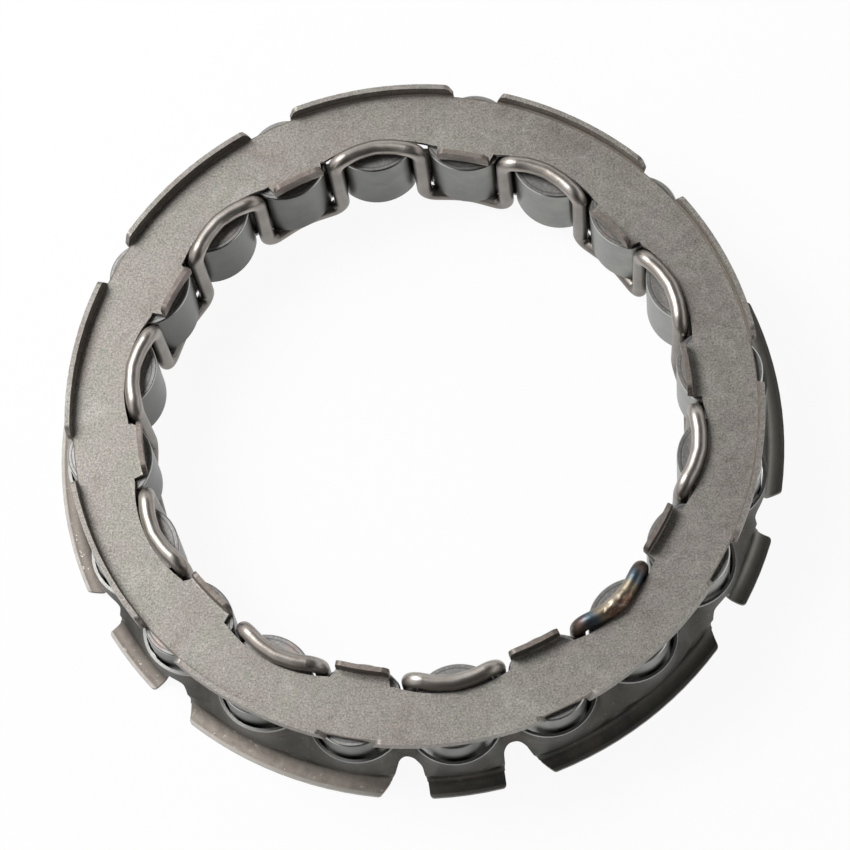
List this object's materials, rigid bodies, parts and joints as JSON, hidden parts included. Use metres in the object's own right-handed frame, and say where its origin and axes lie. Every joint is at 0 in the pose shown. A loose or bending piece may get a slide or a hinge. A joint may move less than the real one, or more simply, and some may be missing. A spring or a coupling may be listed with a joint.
{
  "type": "sprag clutch",
  "caption": "Sprag one-way clutch cage: rocking wedge sprags between two plates, a serpentine wire spring, a fluted collar and a flange with locating tabs.",
  "frame": {"origin": "centre of the flange's underside, on the clutch axis", "axes": "+Z along the clutch axis, from the tabbed flange towards the plate with the upturned lips; +Y 7.49 degrees clockwise of the middle of sprag_01, seen from the front"},
  "size_m": [0.0756, 0.0756, 0.0132],
  "materials": {
    "plate_steel": "fine shot-blasted",
    "ring_steel": "satin dark",
    "sprag_steel": "ground satin",
    "spring_wire": "polished wire"
  },
  "bodies": {
    "cage": {"front_plate": "plate_steel", "rear_plate": "plate_steel", "tab_ring": "ring_steel", "wire_spring": "spring_wire"},
    "sprag_01": {"sprag_01": "sprag_steel"},
    "sprag_02": {"sprag_02": "sprag_steel"},
    "sprag_03": {"sprag_03": "sprag_steel"},
    "sprag_04": {"sprag_04": "sprag_steel"},
    "sprag_05": {"sprag_05": "sprag_steel"},
    "sprag_06": {"sprag_06": "sprag_steel"},
    "sprag_07": {"sprag_07": "sprag_steel"},
    "sprag_08": {"sprag_08": "sprag_steel"},
    "sprag_09": {"sprag_09": "sprag_steel"},
    "sprag_10": {"sprag_10": "sprag_steel"},
    "sprag_11": {"sprag_11": "sprag_steel"},
    "sprag_12": {"sprag_12": "sprag_steel"},
    "sprag_13": {"sprag_13": "sprag_steel"},
    "sprag_14": {"sprag_14": "sprag_steel"},
    "sprag_15": {"sprag_15": "sprag_steel"},
    "sprag_16": {"sprag_16": "sprag_steel"},
    "sprag_17": {"sprag_17": "sprag_steel"},
    "sprag_18": {"sprag_18": "sprag_steel"},
    "sprag_19": {"sprag_19": "sprag_steel"},
    "sprag_20": {"sprag_20": "sprag_steel"}
  },
  "joints": [
    {"name": "sprag_01_rock", "type": "hinge", "parent": "cage", "child": "sprag_01", "pos_m": [-0.00409, 0.03111, 0.00671], "axis": [0, 0, 1], "range_deg": [-8, 6], "stiffness_Nm_per_rad": 0.002},
    {"name": "sprag_02_rock", "type": "hinge", "parent": "cage", "child": "sprag_02", "pos_m": [0.00572, 0.03085, 0.00671], "axis": [0, 0, 1], "range_deg": [-8, 6], "stiffness_Nm_per_rad": 0.002},
    {"name": "sprag_03_rock", "type": "hinge", "parent": "cage", "child": "sprag_03", "pos_m": [0.01498, 0.02757, 0.00671], "axis": [0, 0, 1], "range_deg": [-8, 6], "stiffness_Nm_per_rad": 0.002},
    {"name": "sprag_04_rock", "type": "hinge", "parent": "cage", "child": "sprag_04", "pos_m": [0.02277, 0.0216, 0.00671], "axis": [0, 0, 1], "range_deg": [-8, 6], "stiffness_Nm_per_rad": 0.002},
    {"name": "sprag_05_rock", "type": "hinge", "parent": "cage", "child": "sprag_05", "pos_m": [0.02833, 0.0135, 0.00671], "axis": [0, 0, 1], "range_deg": [-8, 6], "stiffness_Nm_per_rad": 0.002},
    {"name": "sprag_06_rock", "type": "hinge", "parent": "cage", "child": "sprag_06", "pos_m": [0.03111, 0.00409, 0.00671], "axis": [0, 0, 1], "range_deg": [-8, 6], "stiffness_Nm_per_rad": 0.002},
    {"name": "sprag_07_rock", "type": "hinge", "parent": "cage", "child": "sprag_07", "pos_m": [0.03085, -0.00572, 0.00671], "axis": [0, 0, 1], "range_deg": [-8, 6], "stiffness_Nm_per_rad": 0.002},
    {"name": "sprag_08_rock", "type": "hinge", "parent": "cage", "child": "sprag_08", "pos_m": [0.02757, -0.01498, 0.00671], "axis": [0, 0, 1], "range_deg": [-8, 6], "stiffness_Nm_per_rad": 0.002},
    {"name": "sprag_09_rock", "type": "hinge", "parent": "cage", "child": "sprag_09", "pos_m": [0.0216, -0.02277, 0.00671], "axis": [0, 0, 1], "range_deg": [-8, 6], "stiffness_Nm_per_rad": 0.002},
    {"name": "sprag_10_rock", "type": "hinge", "parent": "cage", "child": "sprag_10", "pos_m": [0.0135, -0.02833, 0.00671], "axis": [0, 0, 1], "range_deg": [-8, 6], "stiffness_Nm_per_rad": 0.002},
    {"name": "sprag_11_rock", "type": "hinge", "parent": "cage", "child": "sprag_11", "pos_m": [0.00409, -0.03111, 0.00671], "axis": [0, 0, 1], "range_deg": [-8, 6], "stiffness_Nm_per_rad": 0.002},
    {"name": "sprag_12_rock", "type": "hinge", "parent": "cage", "child": "sprag_12", "pos_m": [-0.00572, -0.03085, 0.00671], "axis": [0, 0, 1], "range_deg": [-8, 6], "stiffness_Nm_per_rad": 0.002},
    {"name": "sprag_13_rock", "type": "hinge", "parent": "cage", "child": "sprag_13", "pos_m": [-0.01498, -0.02757, 0.00671], "axis": [0, 0, 1], "range_deg": [-8, 6], "stiffness_Nm_per_rad": 0.002},
    {"name": "sprag_14_rock", "type": "hinge", "parent": "cage", "child": "sprag_14", "pos_m": [-0.02277, -0.0216, 0.00671], "axis": [0, 0, 1], "range_deg": [-8, 6], "stiffness_Nm_per_rad": 0.002},
    {"name": "sprag_15_rock", "type": "hinge", "parent": "cage", "child": "sprag_15", "pos_m": [-0.02833, -0.0135, 0.00671], "axis": [0, 0, 1], "range_deg": [-8, 6], "stiffness_Nm_per_rad": 0.002},
    {"name": "sprag_16_rock", "type": "hinge", "parent": "cage", "child": "sprag_16", "pos_m": [-0.03111, -0.00409, 0.00671], "axis": [0, 0, 1], "range_deg": [-8, 6], "stiffness_Nm_per_rad": 0.002},
    {"name": "sprag_17_rock", "type": "hinge", "parent": "cage", "child": "sprag_17", "pos_m": [-0.03085, 0.00572, 0.00671], "axis": [0, 0, 1], "range_deg": [-8, 6], "stiffness_Nm_per_rad": 0.002},
    {"name": "sprag_18_rock", "type": "hinge", "parent": "cage", "child": "sprag_18", "pos_m": [-0.02757, 0.01498, 0.00671], "axis": [0, 0, 1], "range_deg": [-8, 6], "stiffness_Nm_per_rad": 0.002},
    {"name": "sprag_19_rock", "type": "hinge", "parent": "cage", "child": "sprag_19", "pos_m": [-0.0216, 0.02277, 0.00671], "axis": [0, 0, 1], "range_deg": [-8, 6], "stiffness_Nm_per_rad": 0.002},
    {"name": "sprag_20_rock", "type": "hinge", "parent": "cage", "child": "sprag_20", "pos_m": [-0.0135, 0.02833, 0.00671], "axis": [0, 0, 1], "range_deg": [-8, 6], "stiffness_Nm_per_rad": 0.002}
  ],
  "couplings": [
    {"joint": "sprag_02_rock", "follows": "sprag_01_rock", "ratio": 1},
    {"joint": "sprag_03_rock", "follows": "sprag_01_rock", "ratio": 1},
    {"joint": "sprag_04_rock", "follows": "sprag_01_rock", "ratio": 1},
    {"joint": "sprag_05_rock", "follows": "sprag_01_rock", "ratio": 1},
    {"joint": "sprag_06_rock", "follows": "sprag_01_rock", "ratio": 1},
    {"joint": "sprag_07_rock", "follows": "sprag_01_rock", "ratio": 1},
    {"joint": "sprag_08_rock", "follows": "sprag_01_rock", "ratio": 1},
    {"joint": "sprag_09_rock", "follows": "sprag_01_rock", "ratio": 1},
    {"joint": "sprag_10_rock", "follows": "sprag_01_rock", "ratio": 1},
    {"joint": "sprag_11_rock", "follows": "sprag_01_rock", "ratio": 1},
    {"joint": "sprag_12_rock", "follows": "sprag_01_rock", "ratio": 1},
    {"joint": "sprag_13_rock", "follows": "sprag_01_rock", "ratio": 1},
    {"joint": "sprag_14_rock", "follows": "sprag_01_rock", "ratio": 1},
    {"joint": "sprag_15_rock", "follows": "sprag_01_rock", "ratio": 1},
    {"joint": "sprag_16_rock", "follows": "sprag_01_rock", "ratio": 1},
    {"joint": "sprag_17_rock", "follows": "sprag_01_rock", "ratio": 1},
    {"joint": "sprag_18_rock", "follows": "sprag_01_rock", "ratio": 1},
    {"joint": "sprag_19_rock", "follows": "sprag_01_rock", "ratio": 1},
    {"joint": "sprag_20_rock", "follows": "sprag_01_rock", "ratio": 1}
  ]
}
